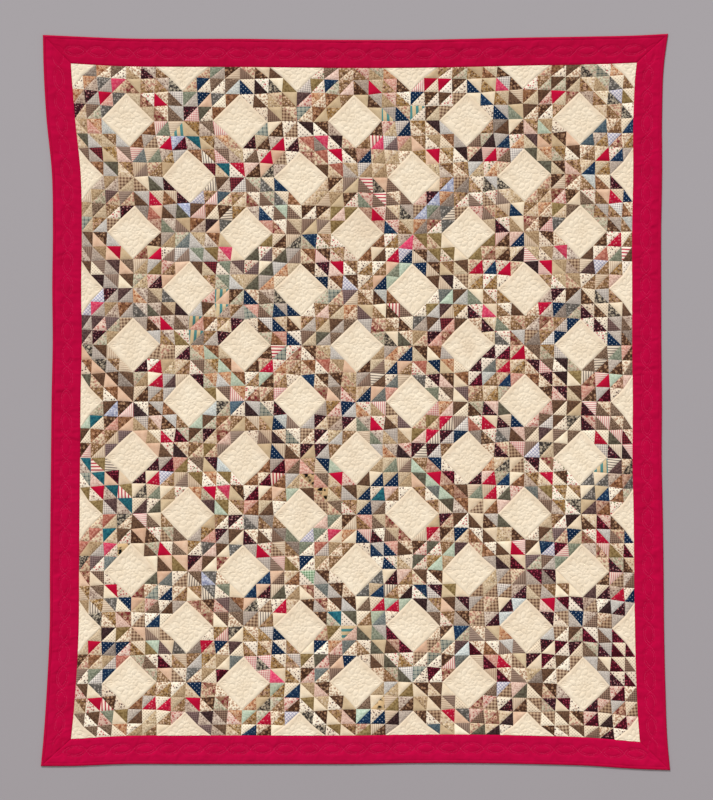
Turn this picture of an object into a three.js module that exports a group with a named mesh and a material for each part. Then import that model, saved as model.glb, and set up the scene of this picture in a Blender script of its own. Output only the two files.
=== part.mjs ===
// A patchwork quilt lying flat, face up: a pieced centre of two-triangle units round cream squares set on
// point, a plain red border quilted with a cable, and a narrow red binding folded over the outer edge.
// Millimetres, +Z up. X runs across the quilt and Y along it. The back lies on z = 0, and the origin is
// under the middle of the quilt.
import * as THREE from "three";

// Driving dimensions
const CELL = 38.1; // side of one finished two-triangle unit
const HALF_CELLS_ACROSS = 20;
const HALF_CELLS_ALONG = 24;
const REPEAT_CELLS = 8; // from one cream square to the next in its row
const SQUARE_CELLS = 2; // half diagonal of a cream square
const SEAM_TRIM = 5.3; // what the border's seam takes off the outermost units
const BORDER_WIDTH = 74; // from the centre's edge to the outside of the binding
const BINDING_WIDTH = 8;
const CLOTH = 1.1; // the binding's own thickness
const GAP = 0.3; // between two pieces that meet

// Heights of the quilted face
const SEAM_Z = 3.2;
const PATCH_Z = 5;
const WREATH_Z = 5.6;
const SQUARE_MIDDLE_Z = 4.4;
const PUFF_Z = 4.9;
const STITCH_LINE_Z = 3.6;
const LINK_Z = 5.3;
const BINDING_Z = 4.6;
const BINDING_ROUND = 0.9; // how far the binding's outer fold is rounded in

// The cable quilted along the border: a chain of pointed links
const LINK_PITCH = 63.5;
const LINK_HALF_WIDTH = 9.5;
const CROSSING_HALF_WIDTH = 2;
const CABLE_INSET = 41; // the cable's middle line, in from the outer edge
const SEAM_WAVE = 0.1; // how far the seams bow in round each cream square, in cells

// Sizes worked out from those above
const INNER_X = HALF_CELLS_ACROSS * CELL - SEAM_TRIM;
const INNER_Y = HALF_CELLS_ALONG * CELL - SEAM_TRIM;
const OUTER_X = INNER_X + BORDER_WIDTH;
const OUTER_Y = INNER_Y + BORDER_WIDTH;
const MITRE_GAP = GAP / Math.SQRT2;
const END_MARGIN = 1; // a bend nearer to a mitre than this is taken into it

// How far the long edges bulge outwards from their straight cut lines where the quilt lies, at each height.
const SIDE_ROWS = [
  { at: -OUTER_Y, left: 24, right: 24 },
  { at: -INNER_Y, left: 17, right: 17 },
  { at: -20 * CELL, left: 7, right: 11 },
  { at: -16 * CELL, left: 0, right: 7.5 },
  { at: -12 * CELL, left: -0.5, right: 6 },
  { at: -8 * CELL, left: -2, right: 4 },
  { at: -4 * CELL, left: -3.5, right: 1 },
  { at: 0, left: -5, right: 1.5 },
  { at: 4 * CELL, left: -8, right: 0 },
  { at: 8 * CELL, left: -7, right: -0.5 },
  { at: 12 * CELL, left: -8.5, right: -0.5 },
  { at: 16 * CELL, left: -6, right: 2 },
  { at: 20 * CELL, left: 9, right: 2 },
  { at: INNER_Y, left: 17, right: 8 },
  { at: OUTER_Y, left: 18.5, right: 18.5 },
];

// The same for the two short edges, at each place across.
const END_ROWS = [
  { at: -OUTER_X, bottom: 6, top: 14 },
  { at: -INNER_X, bottom: 6, top: 10.5 },
  { at: -16 * CELL, bottom: 0.5, top: 4.5 },
  { at: -12 * CELL, bottom: 0.5, top: 3.5 },
  { at: -8 * CELL, bottom: 0.5, top: 3.5 },
  { at: -4 * CELL, bottom: 0.5, top: 1.5 },
  { at: 0, bottom: 0.5, top: 0.5 },
  { at: 4 * CELL, bottom: -2, top: 0.5 },
  { at: 8 * CELL, bottom: -2, top: 3.5 },
  { at: 12 * CELL, bottom: 0.5, top: 7 },
  { at: 16 * CELL, bottom: 5, top: 9.5 },
  { at: INNER_X, bottom: 14.5, top: 13 },
  { at: OUTER_X, bottom: 17, top: 17 },
];

const COLOURS = { patchwork: 0xcdb79a, border: 0xb40d3a, binding: 0xa80b35 };

const { clamp, euclideanModulo, lerp } = THREE.MathUtils;

// The bulge of one edge at a place along it, straight from row to row.
function bulge(rows, edge, at) {
  const last = rows.length - 1;
  const upper = rows.findIndex((row, i) => i > 0 && (at <= row.at || i === last));
  const from = rows[upper - 1];
  const to = rows[upper];
  return lerp(from[edge], to[edge], (at - from.at) / (to.at - from.at));
}

// Where a point of the flat cut layout (u across, v along) lies on the surface, at height z.
function lie(u, v, z) {
  const across = (u + OUTER_X) / (2 * OUTER_X);
  const along = (v + OUTER_Y) / (2 * OUTER_Y);
  const x = u + lerp(-bulge(SIDE_ROWS, "left", v), bulge(SIDE_ROWS, "right", v), across);
  const y = v + lerp(-bulge(END_ROWS, "bottom", u), bulge(END_ROWS, "top", u), along);
  return new THREE.Vector3(x, y, z);
}

// A mesh from a flat list of corner points, three to a triangle.
function meshOf(name, corners, colour) {
  const geometry = new THREE.BufferGeometry().setFromPoints(corners);
  geometry.computeVertexNormals();
  const material = new THREE.MeshStandardMaterial({ color: colour, roughness: 0.9, metalness: 0 });
  const mesh = new THREE.Mesh(geometry, material);
  mesh.name = name;
  return mesh;
}

// The pieced centre

// Signed distance to the nearest multiple of the repeat, in cells.
function wrap(cells) {
  return euclideanModulo(cells + REPEAT_CELLS / 2, REPEAT_CELLS) - REPEAT_CELLS / 2;
}

// Distance to the nearest cream square's middle, measured along the cells. The squares stand in two
// interleaved rows, half a repeat apart both ways.
function squareDistance(p, q) {
  const half = REPEAT_CELLS / 2;
  const first = Math.abs(wrap(p)) + Math.abs(wrap(q - half));
  const second = Math.abs(wrap(p - half)) + Math.abs(wrap(q));
  return Math.min(first, second);
}

function onEdge(p, q) {
  return Math.abs(p) === HALF_CELLS_ACROSS || Math.abs(q) === HALF_CELLS_ALONG;
}

// A point of the piecing grid on the lying quilt, with the seams' slight wave round the squares.
function gridPoint(p, q, z) {
  const turn = Math.PI / (REPEAT_CELLS / 2);
  const rows = q - REPEAT_CELLS / 2;
  const u = (p - SEAM_WAVE * Math.sin(turn * p) * Math.cos(turn * rows)) * CELL;
  const v = (q - SEAM_WAVE * Math.sin(turn * rows) * Math.cos(turn * p)) * CELL;
  return lie(clamp(u, -INNER_X, INNER_X), clamp(v, -INNER_Y, INNER_Y), z);
}

// Height of the face where seams cross, or inside a cream square with its raised wreath.
function cornerHeight(p, q) {
  const distance = squareDistance(p, q);
  if (onEdge(p, q) || distance >= SQUARE_CELLS) return SEAM_Z;
  return distance < 1 ? SQUARE_MIDDLE_Z : WREATH_Z;
}

// The two triangles of a unit, whose diagonal runs beside the nearest cream squares' sides.
function unitTriangles(p, q) {
  const lowLeft = [p, q];
  const lowRight = [p + 1, q];
  const highRight = [p + 1, q + 1];
  const highLeft = [p, q + 1];
  const falling = wrap(p + 0.5) * wrap(q + 0.5 - REPEAT_CELLS / 2) > 0;
  if (falling) return [[lowLeft, lowRight, highLeft], [lowRight, highRight, highLeft]];
  return [[lowLeft, lowRight, highRight], [lowLeft, highRight, highLeft]];
}

// A cream triangle is flat between its corners. A patch puffs up between its seams.
function patchFaces(triangle) {
  const points = triangle.map(([p, q]) => gridPoint(p, q, cornerHeight(p, q)));
  const middleP = (triangle[0][0] + triangle[1][0] + triangle[2][0]) / 3;
  const middleQ = (triangle[0][1] + triangle[1][1] + triangle[2][1]) / 3;
  if (squareDistance(middleP, middleQ) < SQUARE_CELLS) return points;
  const puff = new THREE.Vector3();
  points.forEach((point) => puff.addScaledVector(point, 1 / 3));
  puff.z = PATCH_Z;
  return points.flatMap((point, i) => [point, points[(i + 1) % 3], puff]);
}

// The grid's outermost corners in turn, anticlockwise seen from above.
function edgeLoop() {
  const loop = [];
  for (let p = -HALF_CELLS_ACROSS; p < HALF_CELLS_ACROSS; p++) loop.push([p, -HALF_CELLS_ALONG]);
  for (let q = -HALF_CELLS_ALONG; q < HALF_CELLS_ALONG; q++) loop.push([HALF_CELLS_ACROSS, q]);
  for (let p = HALF_CELLS_ACROSS; p > -HALF_CELLS_ACROSS; p--) loop.push([p, HALF_CELLS_ALONG]);
  for (let q = HALF_CELLS_ALONG; q > -HALF_CELLS_ALONG; q--) loop.push([-HALF_CELLS_ACROSS, q]);
  return loop;
}

function patchworkCentre() {
  const corners = [];
  for (let p = -HALF_CELLS_ACROSS; p < HALF_CELLS_ACROSS; p++) {
    for (let q = -HALF_CELLS_ALONG; q < HALF_CELLS_ALONG; q++) {
      unitTriangles(p, q).forEach((triangle) => corners.push(...patchFaces(triangle)));
    }
  }
  const loop = edgeLoop();
  const middle = lie(0, 0, 0);
  loop.forEach(([p, q], i) => {
    const [nextP, nextQ] = loop[(i + 1) % loop.length];
    const top = gridPoint(p, q, SEAM_Z);
    const nextTop = gridPoint(nextP, nextQ, SEAM_Z);
    const foot = gridPoint(p, q, 0);
    const nextFoot = gridPoint(nextP, nextQ, 0);
    corners.push(foot, nextFoot, nextTop, foot, nextTop, top, middle, nextFoot, foot);
  });
  return meshOf("patchwork_center", corners, COLOURS.patchwork);
}

// Border and binding strips

// The four sides: which way is out, and the rows whose places are the bends in that edge. A strip's own
// length runs a quarter turn anticlockwise from its way out.
const SIDES = [
  { name: "bottom", out: [0, -1], rows: END_ROWS, inner: INNER_X, outer: OUTER_Y },
  { name: "right", out: [1, 0], rows: SIDE_ROWS, inner: INNER_Y, outer: OUTER_X },
  { name: "top", out: [0, 1], rows: END_ROWS, inner: INNER_X, outer: OUTER_Y },
  { name: "left", out: [-1, 0], rows: SIDE_ROWS, inner: INNER_Y, outer: OUTER_X },
];

// A point of a strip: along its length, inset from the outer edge, at height z.
function stripPoint(side, along, inset, z) {
  const [outX, outY] = side.out;
  const reach = side.outer - inset;
  return lie(outX * reach - outY * along, outY * reach + outX * along, z);
}

// How far a strip runs from its middle to its mitre, at an inset from the outer edge.
function mitreReach(side, inset) {
  return side.inner + BORDER_WIDTH - inset - MITRE_GAP;
}

// Places along a strip: those given that lie well inside its mitres, and the two mitres.
function stations(side, inset, places, margin) {
  const reach = mitreReach(side, inset);
  const inside = places.filter((along) => Math.abs(along) < reach - margin);
  return [-reach, ...inside.sort((a, b) => a - b), reach];
}

// A straight rail of a strip, bent only where its edge bends.
function edgeRail(side, inset, z) {
  const bends = side.rows.map((row) => row.at);
  const places = stations(side, inset, bends, END_MARGIN);
  const points = places.map((along) => ({ along, at: stripPoint(side, along, inset, z) }));
  return { inset, z, points };
}

// A rail of the cable, on one side of its middle line (1 or -1) or along it (0): it swings out round each
// link and in to each crossing.
function cableRail(side, which) {
  const half = LINK_PITCH / 2;
  const count = Math.ceil((side.inner + BORDER_WIDTH) / half);
  const steps = Array.from({ length: 2 * count + 1 }, (_, i) => i - count);
  const endInset = CABLE_INSET + which * CROSSING_HALF_WIDTH;
  const places = stations(side, endInset, steps.map((step) => step * half), half / 2);
  const last = places.length - 1;
  const points = places.map((along, i) => {
    const linked = i > 0 && i < last && Math.round(along / half) % 2 === 0;
    const swing = linked ? LINK_HALF_WIDTH : CROSSING_HALF_WIDTH;
    const z = linked && which === 0 ? LINK_Z : STITCH_LINE_Z;
    return { along, at: stripPoint(side, along, CABLE_INSET + which * swing, z) };
  });
  return { inset: endInset, z: STITCH_LINE_Z, points };
}

// The triangles between two rails, always stepping on along the one whose next point comes first.
function zip(first, second) {
  const corners = [];
  const a = first.points;
  const b = second.points;
  let i = 0;
  let j = 0;
  while (i < a.length - 1 || j < b.length - 1) {
    const stepFirst = j === b.length - 1 || (i < a.length - 1 && a[i + 1].along <= b[j + 1].along);
    if (stepFirst) {
      corners.push(a[i + 1].at, a[i].at, b[j].at);
      i += 1;
    } else {
      corners.push(b[j + 1].at, a[i].at, b[j].at);
      j += 1;
    }
  }
  return corners;
}

// The closed end of a strip, over the section that its rails make.
function endCap(rails, end) {
  const section = rails.map((rail) => new THREE.Vector2(rail.inset, rail.z));
  const ends = rails.map((rail) => rail.points.at(end).at);
  const faces = THREE.ShapeUtils.triangulateShape(section, []);
  if (end === 0) faces.forEach((face) => face.reverse());
  return faces.flat().map((corner) => ends[corner]);
}

// A strip from its rails, which go once round its section.
function strip(name, rails, colour) {
  const corners = rails.flatMap((rail, i) => zip(rail, rails[(i + 1) % rails.length]));
  corners.push(...endCap(rails, 0), ...endCap(rails, -1));
  return meshOf(name, corners, colour);
}

// The border, whose outer edge thins to a tongue inside the binding.
function borderStrip(side) {
  const seam = BORDER_WIDTH - GAP;
  const step = BINDING_WIDTH + GAP;
  const tip = CLOTH + GAP;
  const tongueLow = CLOTH + GAP;
  const tongueHigh = BINDING_Z - CLOTH - GAP;
  const innerPuff = (seam + CABLE_INSET + LINK_HALF_WIDTH) / 2;
  const outerPuff = (step + CABLE_INSET - LINK_HALF_WIDTH) / 2;
  const rails = [
    edgeRail(side, seam, 0),
    edgeRail(side, seam, SEAM_Z),
    edgeRail(side, innerPuff, PUFF_Z),
    cableRail(side, 1),
    cableRail(side, 0),
    cableRail(side, -1),
    edgeRail(side, outerPuff, PUFF_Z),
    edgeRail(side, step, BINDING_Z - GAP),
    edgeRail(side, step, tongueHigh),
    edgeRail(side, tip, tongueHigh),
    edgeRail(side, tip, tongueLow),
    edgeRail(side, step, tongueLow),
    edgeRail(side, step, 0),
  ];
  return strip("border_" + side.name, rails, COLOURS.border);
}

// The binding: one strip of cloth folded round the border's tongue, rounded along the outside.
function bindingStrip(side) {
  const high = BINDING_Z - CLOTH;
  const rails = [
    edgeRail(side, BINDING_WIDTH, high),
    edgeRail(side, BINDING_WIDTH, BINDING_Z),
    edgeRail(side, BINDING_ROUND, BINDING_Z),
    edgeRail(side, 0, high),
    edgeRail(side, 0, CLOTH),
    edgeRail(side, BINDING_ROUND, 0),
    edgeRail(side, BINDING_WIDTH, 0),
    edgeRail(side, BINDING_WIDTH, CLOTH),
    edgeRail(side, CLOTH, CLOTH),
    edgeRail(side, CLOTH, high),
  ];
  return strip("binding_" + side.name, rails, COLOURS.binding);
}

const quilt = new THREE.Group();
quilt.add(patchworkCentre());
SIDES.forEach((side) => quilt.add(borderStrip(side)));
SIDES.forEach((side) => quilt.add(bindingStrip(side)));

export default quilt;
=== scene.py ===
# A patchwork quilt lying flat, seen from straight above. Metres, +Z up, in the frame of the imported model.
import math
from collections import namedtuple

import bpy
import numpy as np
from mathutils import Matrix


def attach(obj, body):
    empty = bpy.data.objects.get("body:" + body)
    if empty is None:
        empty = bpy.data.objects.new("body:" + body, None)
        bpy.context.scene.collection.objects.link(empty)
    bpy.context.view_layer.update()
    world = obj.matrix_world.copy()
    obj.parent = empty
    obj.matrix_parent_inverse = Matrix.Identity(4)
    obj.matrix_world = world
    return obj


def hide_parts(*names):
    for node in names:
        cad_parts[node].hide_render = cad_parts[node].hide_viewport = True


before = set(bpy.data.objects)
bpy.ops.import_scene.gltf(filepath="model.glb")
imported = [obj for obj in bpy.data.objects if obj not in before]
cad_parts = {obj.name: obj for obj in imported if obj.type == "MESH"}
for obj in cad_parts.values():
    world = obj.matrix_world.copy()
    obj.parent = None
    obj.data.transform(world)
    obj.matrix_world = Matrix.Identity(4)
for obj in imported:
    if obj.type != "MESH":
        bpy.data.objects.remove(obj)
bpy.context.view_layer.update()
MM = 0.001

# Sizes of the cut quilt, as in the solids
CELL = 38.1 * MM
HALF_ACROSS = 20
HALF_ALONG = 24
REPEAT = 8
SQUARE = 2
SEAM_TRIM = 5.3 * MM
BORDER = 74 * MM
BINDING = 8 * MM
INNER_X = HALF_ACROSS * CELL - SEAM_TRIM
INNER_Y = HALF_ALONG * CELL - SEAM_TRIM
OUTER_X = INNER_X + BORDER
OUTER_Y = INNER_Y + BORDER

# Heights of the face
SEAM_Z = 3.2 * MM
BINDING_Z = 4.6 * MM
PATCH_RISE = 2.0 * MM
PATCH_PUFF = 9 * MM
SQUARE_RISE = 1.7 * MM
BACK_LIFT = 0.05 * MM
BACK_DIMPLE = 0.3 * MM
BORDER_RISE = 1.6 * MM
CRINKLE = 0.3 * MM
# How far a seam holds the cloth down, and what it leaves of the crinkle
SEAM_HOLD = 4 * MM
SEAM_CRINKLE = 0.15

# How finely each kind of piece is meshed
PATCH_STEPS = 10
SQUARE_STEPS = 54
BORDER_STEP = 2.5 * MM
BINDING_STEP = 4 * MM
BACK_STEPS = 2

# How far the long edges bulge out from their straight cut lines, in millimetres, at each height
SIDE_PLACES = np.array([-OUTER_Y, -INNER_Y, *(np.arange(-20, 21, 4) * CELL), INNER_Y, OUTER_Y])
LEFT_BULGE = [24, 17, 7, 0, -0.5, -2, -3.5, -5, -8, -7, -8.5, -6, 9, 17, 18.5]
RIGHT_BULGE = [24, 17, 11, 7.5, 6, 4, 1, 1.5, 0, -0.5, -0.5, 2, 2, 8, 18.5]
# The same for the two short edges, at each place across
END_PLACES = np.array([-OUTER_X, -INNER_X, *(np.arange(-16, 17, 4) * CELL), INNER_X, OUTER_X])
BOTTOM_BULGE = [6, 6, 0.5, 0.5, 0.5, 0.5, 0.5, -2, -2, 0.5, 5, 14.5, 17]
TOP_BULGE = [14, 10.5, 4.5, 3.5, 3.5, 1.5, 0.5, 0.5, 3.5, 7, 9.5, 13, 17]
# How far the border seams are drawn in between the corners
DRAWN_IN_SIDES = 5.6 * MM
DRAWN_IN_TOP = 2.8 * MM
DRAWN_IN_BOTTOM = 4.2 * MM


# Where the flat cut layout lies


def bulge(places, values, at):
    """A smooth curve through an edge's bulges, at places along it."""
    values = np.array(values) * MM
    slopes = np.gradient(values, places)
    i = np.clip(np.searchsorted(places, at) - 1, 0, len(places) - 2)
    span = places[i + 1] - places[i]
    t = (at - places[i]) / span
    rise = values[i] + (values[i + 1] - values[i]) * t * t * (3 - 2 * t)
    return rise + span * t * (1 - t) * (slopes[i] * (1 - t) - slopes[i + 1] * t)


def lie(u, v, z):
    """Points of the flat layout as they lie on the floor, at height z."""
    across = (u + OUTER_X) / (2 * OUTER_X)
    along = (v + OUTER_Y) / (2 * OUTER_Y)
    left = -bulge(SIDE_PLACES, LEFT_BULGE, v)
    right = bulge(SIDE_PLACES, RIGHT_BULGE, v)
    bottom = -bulge(END_PLACES, BOTTOM_BULGE, u)
    top = bulge(END_PLACES, TOP_BULGE, u)
    x = u + left + (right - left) * across
    y = v + bottom + (top - bottom) * along
    return np.stack([x, y, np.broadcast_to(z, x.shape)], axis=-1)


def drawn_in(along, half_length, depth):
    """How far a border seam lies inside its straight line, at places along it."""
    return depth * (1 - np.minimum(np.abs(along) / half_length, 1) ** 6)


def scatter(i, j, seed):
    """A fixed number from -1 to 1 for each pair of whole numbers and seed."""
    mixed = np.asarray(i).astype(np.int64) * 374761393 + np.asarray(j).astype(np.int64) * 668265263
    mixed = (mixed + seed * 974634777) & 0xFFFFFFFF
    mixed = ((mixed ^ (mixed >> 13)) * 1274126177) & 0xFFFFFFFF
    mixed = ((mixed ^ (mixed >> 16)) * 1103515245) & 0xFFFFFFFF
    return ((mixed ^ (mixed >> 15)) & 0xFFFFFF) / 0x7FFFFF - 1.0


def blend(value, i, j, s, t):
    """A value between four whole places, s and t of the way on from i, j."""
    low = value(i, j) * (1 - s) + value(i + 1, j) * s
    high = value(i, j + 1) * (1 - s) + value(i + 1, j + 1) * s
    return low * (1 - t) + high * t


def ripple(u, v, size, seed):
    """Smooth noise from -1 to 1, with lumps of about that size."""
    x = u / size
    y = v / size
    i = np.floor(x)
    j = np.floor(y)
    s = (x - i) ** 2 * (3 - 2 * (x - i))
    t = (y - j) ** 2 * (3 - 2 * (y - j))
    return blend(lambda i, j: scatter(i, j, seed), i, j, s, t)


def waver(u, v, amount, size, seed):
    """How far hand work strays from its true place, across and along."""
    return amount * ripple(u, v, size, seed), amount * ripple(u, v, size, seed + 1)


def crinkle(u, v):
    """The fine unevenness of washed cotton, in lumps of three sizes."""
    large = ripple(u, v, 24 * MM, 4)
    small = ripple(u, v, 11 * MM, 5)
    return CRINKLE * (large + small + 0.7 * ripple(u, v, 6 * MM, 6))


def held_down(distance, least):
    """How freely cloth stands up at a distance from a seam, from least to 1."""
    return np.clip(distance / SEAM_HOLD, least, 1)


def puff(distance, reach):
    """How far cloth stands up, from 0 on a stitched line to 1 at reach from it."""
    t = np.clip(distance / reach, 0, 1)
    return t * (2 - t)


# The piecing grid

SEAM_WAVE = 0.1
SEAM_JITTER = 2.0 * MM
# How far the seams drift, over what distance, and its seed
SEAM_DRIFT = 3 * MM, 7 * CELL, 7
# How many cells in from the border the seams are steadied
SEAM_CALM = 3


def wrap(cells):
    """Signed distance to the nearest multiple of the repeat, in cells."""
    return (cells + REPEAT / 2) % REPEAT - REPEAT / 2


def square_distance(p, q):
    """Distance to the nearest cream square's middle, along the cells."""
    half = REPEAT / 2
    first = np.abs(wrap(p)) + np.abs(wrap(q - half))
    second = np.abs(wrap(p - half)) + np.abs(wrap(q))
    return np.minimum(first, second)


def seam_point(p, q):
    """The flat place of a grid corner, where the seams meet unevenly."""
    turn = math.pi / (REPEAT / 2)
    rows = q - REPEAT / 2
    inside = np.minimum(HALF_ACROSS - np.abs(p), HALF_ALONG - np.abs(q))
    inside = np.clip(inside / SEAM_CALM, 0, 1)
    u = (p - SEAM_WAVE * np.sin(turn * p) * np.cos(turn * rows)) * CELL
    v = (q - SEAM_WAVE * np.sin(turn * rows) * np.cos(turn * p)) * CELL
    drift_u, drift_v = waver(u, v, *SEAM_DRIFT)
    u = u + inside * (drift_u + SEAM_JITTER * scatter(p, q, 1))
    v = v + inside * (drift_v + SEAM_JITTER * scatter(p, q, 2))
    return inside_seams(u, v)


def inside_seams(u, v):
    """Flat places moved in to the border seams where they lie past them."""
    side = INNER_X - drawn_in(v, INNER_Y, DRAWN_IN_SIDES)
    bottom = INNER_Y - drawn_in(u, INNER_X, DRAWN_IN_BOTTOM)
    top = INNER_Y - drawn_in(u, INNER_X, DRAWN_IN_TOP)
    return np.clip(u, -side, side), np.clip(v, -bottom, top)


# Scraps: the cottons, and where each kind lies

# Each cotton: its share, its print, and the print's colours, pitch and motif size in millimetres
FIELDS = "tone name family share print ground motif pitch size accent"
Cotton = namedtuple("Cotton", FIELDS, defaults=[None, None])
RED = (186, 14, 52)
CREAM = (241, 225, 200)
DARK_COTTONS = [
    ("turkey_red", "red", 1.0, "plain", RED, (170, 10, 46), 30),
    ("red_seed", "red", 0.7, "sprig", (180, 20, 52), (216, 128, 130), 8, 0.9, (130, 14, 38)),
    ("cerise", "red", 0.32, "mottle", (200, 52, 88), (214, 92, 112), 6),
    ("navy_dot", "navy", 3.3, "dots", (16, 37, 64), (200, 205, 205), 8.5, 0.9),
    ("navy_vine", "navy", 1.8, "sprig", (20, 42, 70), (98, 116, 130), 8, 1.1, (60, 84, 104)),
    ("slate_blue", "slate", 0.35, "mottle", (62, 80, 92), (96, 110, 116), 5),
    ("slate", "slate", 1.1, "mottle", (93, 98, 96), (135, 135, 127), 4),
    ("sage", "slate", 1.3, "mottle", (110, 114, 96), (148, 149, 128), 5),
    ("teal", "teal", 0.6, "mottle", (43, 103, 110), (25, 73, 88), 6),
    ("teal_stripe", "teal", 0.5, "stripe", (204, 178, 138), (78, 130, 127), 17, 0.45),
    ("pine_plaid", "teal", 0.7, "plaid", (156, 156, 140), (70, 86, 86), 11, 0.4, (194, 186, 166)),
    ("leaf_check", "teal", 0.2, "check", (190, 200, 172), (92, 128, 88), 7, 0.5),
    ("plum_floret", "plum", 3.0, "sprig", (47, 22, 28), (186, 133, 128), 8, 1.0, (124, 41, 55)),
    ("plum_black", "plum", 1.3, "mottle", (41, 25, 26), (71, 50, 49), 5),
    ("aubergine", "plum", 1.4, "mottle", (70, 48, 48), (104, 79, 74), 5),
    ("mauve_check", "plum", 0.9, "check", (138, 113, 107), (74, 53, 54), 5, 0.5),
    ("wine_floret", "wine", 0.8, "sprig", (70, 15, 27), (156, 54, 74), 6.5, 1.2, (42, 10, 19)),
    ("wine_check", "wine", 0.3, "check", (120, 44, 50), (62, 18, 26), 7, 0.5),
    ("madder", "brown", 1.2, "mottle", (156, 84, 70), (192, 130, 110), 6),
    ("chocolate", "brown", 5.6, "floral", (81, 53, 37), (53, 32, 27), 9, 2.2, (193, 150, 114)),
    ("umber", "brown", 4.4, "mottle", (108, 78, 58), (77, 53, 40), 5),
    ("rust", "brown", 3.2, "floral", (131, 88, 58), (84, 48, 38), 10, 2.4, (214, 162, 125)),
    ("rosette", "brown", 2.4, "floral", (140, 103, 79), (118, 42, 45), 14, 4.2, (229, 188, 156)),
    ("bark_check", "brown", 1.9, "check", (192, 162, 131), (104, 73, 57), 9, 0.5),
    ("cocoa_check", "brown", 1.6, "check", (150, 121, 101), (86, 63, 54), 5.5, 0.5),
    ("tweed", "brown", 3.6, "mottle", (90, 68, 54), (148, 122, 101), 3.5),
    ("olive_grey", "grey", 1.6, "mottle", (102, 97, 80), (76, 68, 56), 6),
    ("smoke", "grey", 1.8, "sprig", (98, 92, 86), (163, 154, 145), 6.5, 1.4, (76, 72, 68)),
    ("ink_blot", "grey", 1.2, "floral", (54, 48, 45), (143, 129, 112), 9, 2.4, (202, 186, 160)),
    ("taupe_stripe", "grey", 1.7, "stripe", (156, 131, 114), (112, 89, 78), 5, 0.45),
    ("khaki", "tan", 3.2, "mottle", (148, 124, 82), (113, 90, 54), 6),
    ("tan_posy", "tan", 4.8, "floral", (157, 122, 81), (98, 65, 49), 10, 3.0, (220, 179, 149)),
    ("gold_posy", "tan", 3.4, "floral", (158, 121, 73), (93, 63, 42), 9, 2.7, (215, 184, 148)),
    ("toast", "tan", 4.6, "sprig", (139, 105, 70), (200, 166, 137), 6.5, 1.5, (94, 63, 51)),
    ("fawn", "tan", 2.4, "mottle", (185, 157, 122), (143, 114, 84), 4.5),
    ("hay", "tan", 2.0, "sprig", (193, 166, 129), (219, 196, 168), 7, 1.4, (135, 107, 84)),
    ("orange_ring", "tan", 2.0, "floral", (196, 146, 108), (150, 89, 62), 10, 3.0, (231, 200, 165)),
    ("bold_vine", "tan", 0.5, "floral", (210, 176, 130), (6, 6, 6), 24, 7, (213, 181, 138)),
]
LIGHT_COTTONS = [
    ("sprigged_cream", "cream", 6.6, "sprig", (242, 226, 202), (94, 73, 74), 8, 1.2, (167, 127, 109)),
    ("rosebud_cream", "pink", 4.4, "sprig", (241, 223, 202), (184, 82, 85), 8, 1.3, (113, 123, 90)),
    ("bramble_cream", "cream", 5.2, "floral", (239, 220, 192), (155, 116, 88), 9, 2.4, (206, 167, 140)),
    ("ecru", "cream", 4.6, "plain", (238, 219, 190), (227, 204, 173), 20),
    ("seeded_cream", "cream", 3.4, "dots", (236, 217, 189), (139, 112, 98), 6, 1.1),
    ("polka_cream", "cream", 0.7, "dots", (237, 221, 201), (70, 54, 60), 8.5, 1.5),
    ("biscuit", "tan", 3.4, "sprig", (214, 189, 155), (176, 143, 116), 7, 1.6, (233, 212, 189)),
    ("oatmeal", "tan", 3.2, "mottle", (212, 190, 159), (178, 154, 124), 4),
    ("sand", "tan", 2.2, "plain", (206, 181, 145), (194, 168, 133), 16),
    ("sand_posy", "tan", 4.4, "floral", (219, 196, 163), (161, 123, 100), 10, 2.8, (199, 137, 121)),
    ("tan_pinstripe", "tan", 2.2, "stripe", (219, 197, 170), (176, 148, 124), 5, 0.35),
    ("mushroom", "grey", 2.1, "sprig", (188, 166, 148), (137, 111, 99), 6.5, 1.4, (220, 200, 179)),
    ("dust", "grey", 1.9, "mottle", (162, 146, 134), (198, 182, 166), 4),
    ("ash", "grey", 2.1, "mottle", (177, 168, 159), (207, 198, 188), 3.5),
    ("drab", "grey", 1.0, "mottle", (122, 106, 95), (160, 144, 131), 4),
    ("lichen", "grey", 2.5, "floral", (199, 189, 163), (146, 139, 114), 9, 2.6, (208, 166, 148)),
    ("pewter_check", "grey", 1.3, "check", (207, 193, 179), (146, 135, 128), 4.5, 0.5),
    ("pin_check", "grey", 1.5, "check", (226, 213, 199), (146, 136, 134), 6, 0.4),
    ("ink_stripe", "grey", 0.9, "stripe", (226, 208, 185), (104, 92, 87), 7, 0.35),
    ("lavender_net", "blue", 0.8, "lattice", (219, 211, 209), (128, 126, 160), 7, 0.26),
    ("periwinkle", "blue", 0.45, "sprig", (172, 175, 195), (206, 206, 214), 6, 1.4, (132, 137, 166)),
    ("dove_blue", "blue", 0.5, "mottle", (178, 180, 176), (216, 215, 205), 4),
    ("mint", "blue", 0.8, "mottle", (170, 183, 160), (196, 204, 182), 5),
    ("shell_pink", "pink", 1.9, "mottle", (230, 198, 180), (200, 161, 145), 5),
    ("salmon", "pink", 1.0, "mottle", (192, 130, 114), (218, 176, 156), 5),
    ("cinnamon", "pink", 0.7, "floral", (182, 143, 120), (139, 90, 77), 9, 2.6, (220, 188, 163)),
    ("rose_calico", "pink", 1.6, "floral", (216, 182, 164), (173, 88, 83), 10, 2.8, (240, 220, 199)),
    ("peach", "pink", 1.8, "plain", (226, 190, 161), (214, 174, 145), 16),
    ("candy_stripe", "pink", 0.9, "stripe", (232, 209, 192), (200, 126, 126), 5.5, 0.4),
    ("red_stripe", "pink", 0.35, "stripe", (237, 216, 197), (180, 56, 72), 9, 0.42),
    ("rose_check", "pink", 0.4, "check", (233, 209, 194), (200, 126, 126), 6, 0.5),
]
COTTONS = [Cotton("dark", *row) for row in DARK_COTTONS]
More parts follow.
